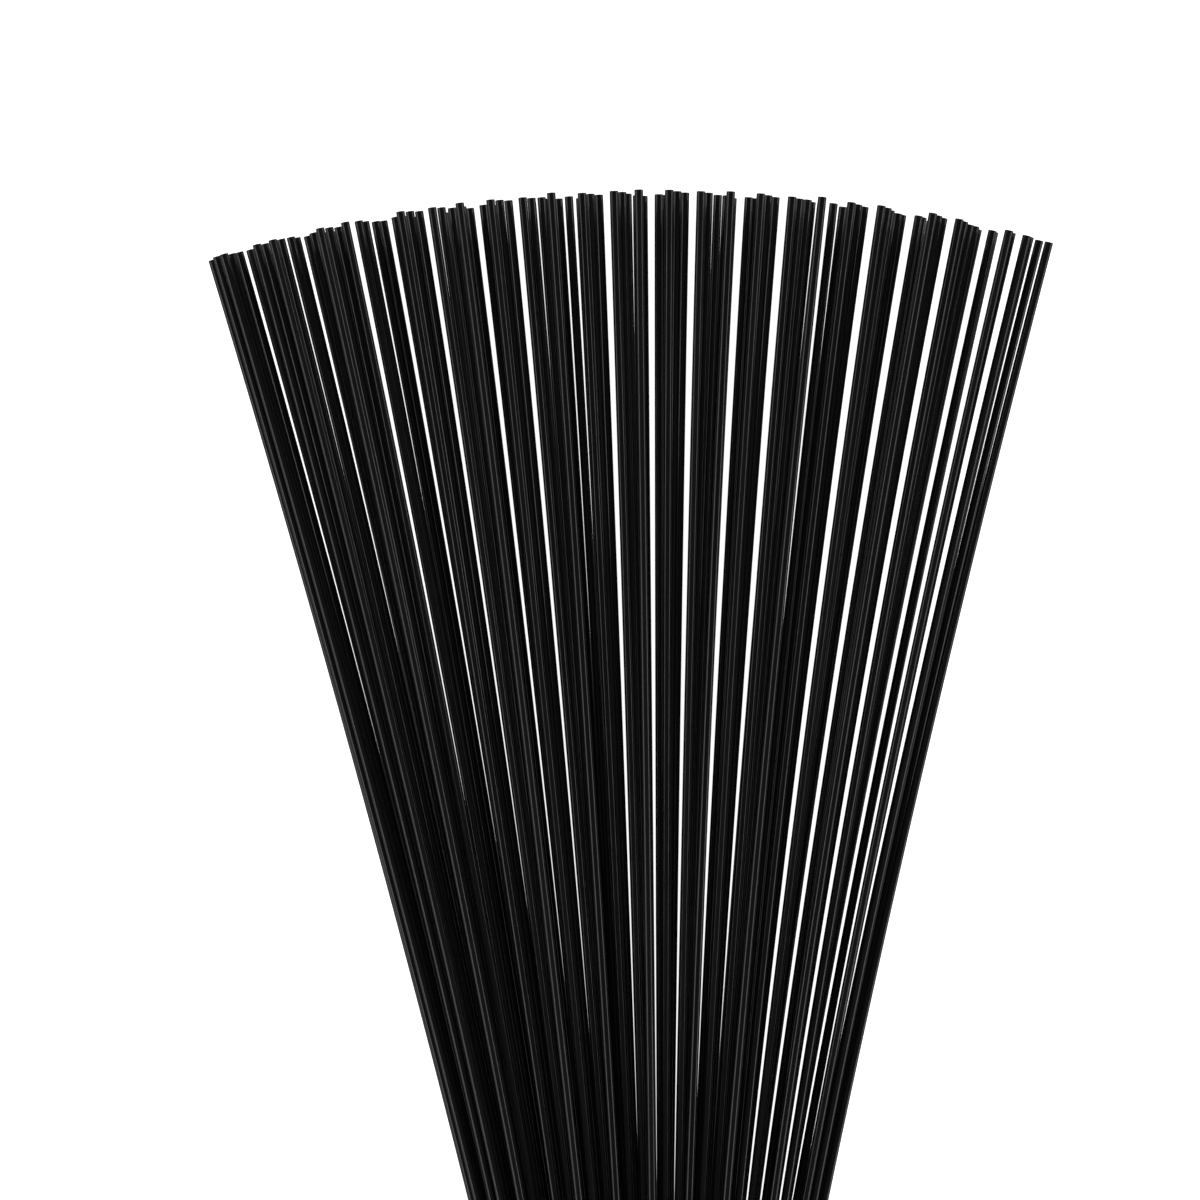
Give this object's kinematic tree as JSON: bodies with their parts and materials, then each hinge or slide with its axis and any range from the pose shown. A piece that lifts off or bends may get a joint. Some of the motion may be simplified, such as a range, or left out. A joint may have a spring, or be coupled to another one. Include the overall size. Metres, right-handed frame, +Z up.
{
  "type": "retractable nylon drum brush",
  "caption": "Hand-held percussion brush with a wide flat fan of black nylon bristles that slides into a soft-touch tubular handle by a domed pull cap.",
  "frame": {"origin": "middle of the brush's length and width, on the surface it lies on", "axes": "+Y along the handle towards the bristle tips, +X across the fan, +Z up from the surface"},
  "size_m": [0.0792, 0.366, 0.015],
  "materials": {
    "tube_aluminium": "drawn tube, bare",
    "soft_touch_rubber": "matte soft-touch",
    "black_anodised": "satin black anodised",
    "acetal": "turned acetal",
    "seal_rubber": "moulded nitrile",
    "screw_steel": "plated steel",
    "cap_plastic": "matte soft-touch",
    "brass": "turned",
    "rod_aluminium": "drawn rod, satin",
    "nylon": "satin black nylon"
  },
  "bodies": {
    "handle": {"handle_tube": "tube_aluminium", "grip_sleeve": "soft_touch_rubber", "nose_collar": "black_anodised", "rear_bush": "acetal", "wiper_ring": "seal_rubber", "bush_screws": "screw_steel"},
    "slider": {"pull_cap": "cap_plastic", "cap_insert": "brass", "pull_rod": "rod_aluminium", "rod_locknut": "screw_steel", "rod_buffer": "seal_rubber", "ferrule": "brass", "friction_ring": "seal_rubber", "fused_butt": "nylon", "bundle_band": "screw_steel", "bristle_layer_01": "nylon", "bristle_layer_02": "nylon", "bristle_layer_03": "nylon", "bristle_layer_04": "nylon", "bristle_layer_05": "nylon", "bristle_layer_06": "nylon", "bristle_layer_07": "nylon", "bristle_layer_08": "nylon", "bristle_layer_09": "nylon", "bristle_layer_10": "nylon", "bristle_layer_11": "nylon", "bristle_layer_12": "nylon", "bristle_layer_13": "nylon", "edge_bristles_left": "nylon", "edge_bristles_right": "nylon"}
  },
  "joints": [
    {"name": "bristle_slide", "type": "slide", "parent": "handle", "child": "slider", "axis": [0, -1, 0], "range_m": [0, 0.157], "deforming": ["bristle_layer_01", "bristle_layer_02", "bristle_layer_03", "bristle_layer_04", "bristle_layer_05", "bristle_layer_06", "bristle_layer_07", "bristle_layer_08", "bristle_layer_09", "bristle_layer_10", "bristle_layer_11", "bristle_layer_12", "bristle_layer_13", "edge_bristles_left", "edge_bristles_right"]}
  ]
}
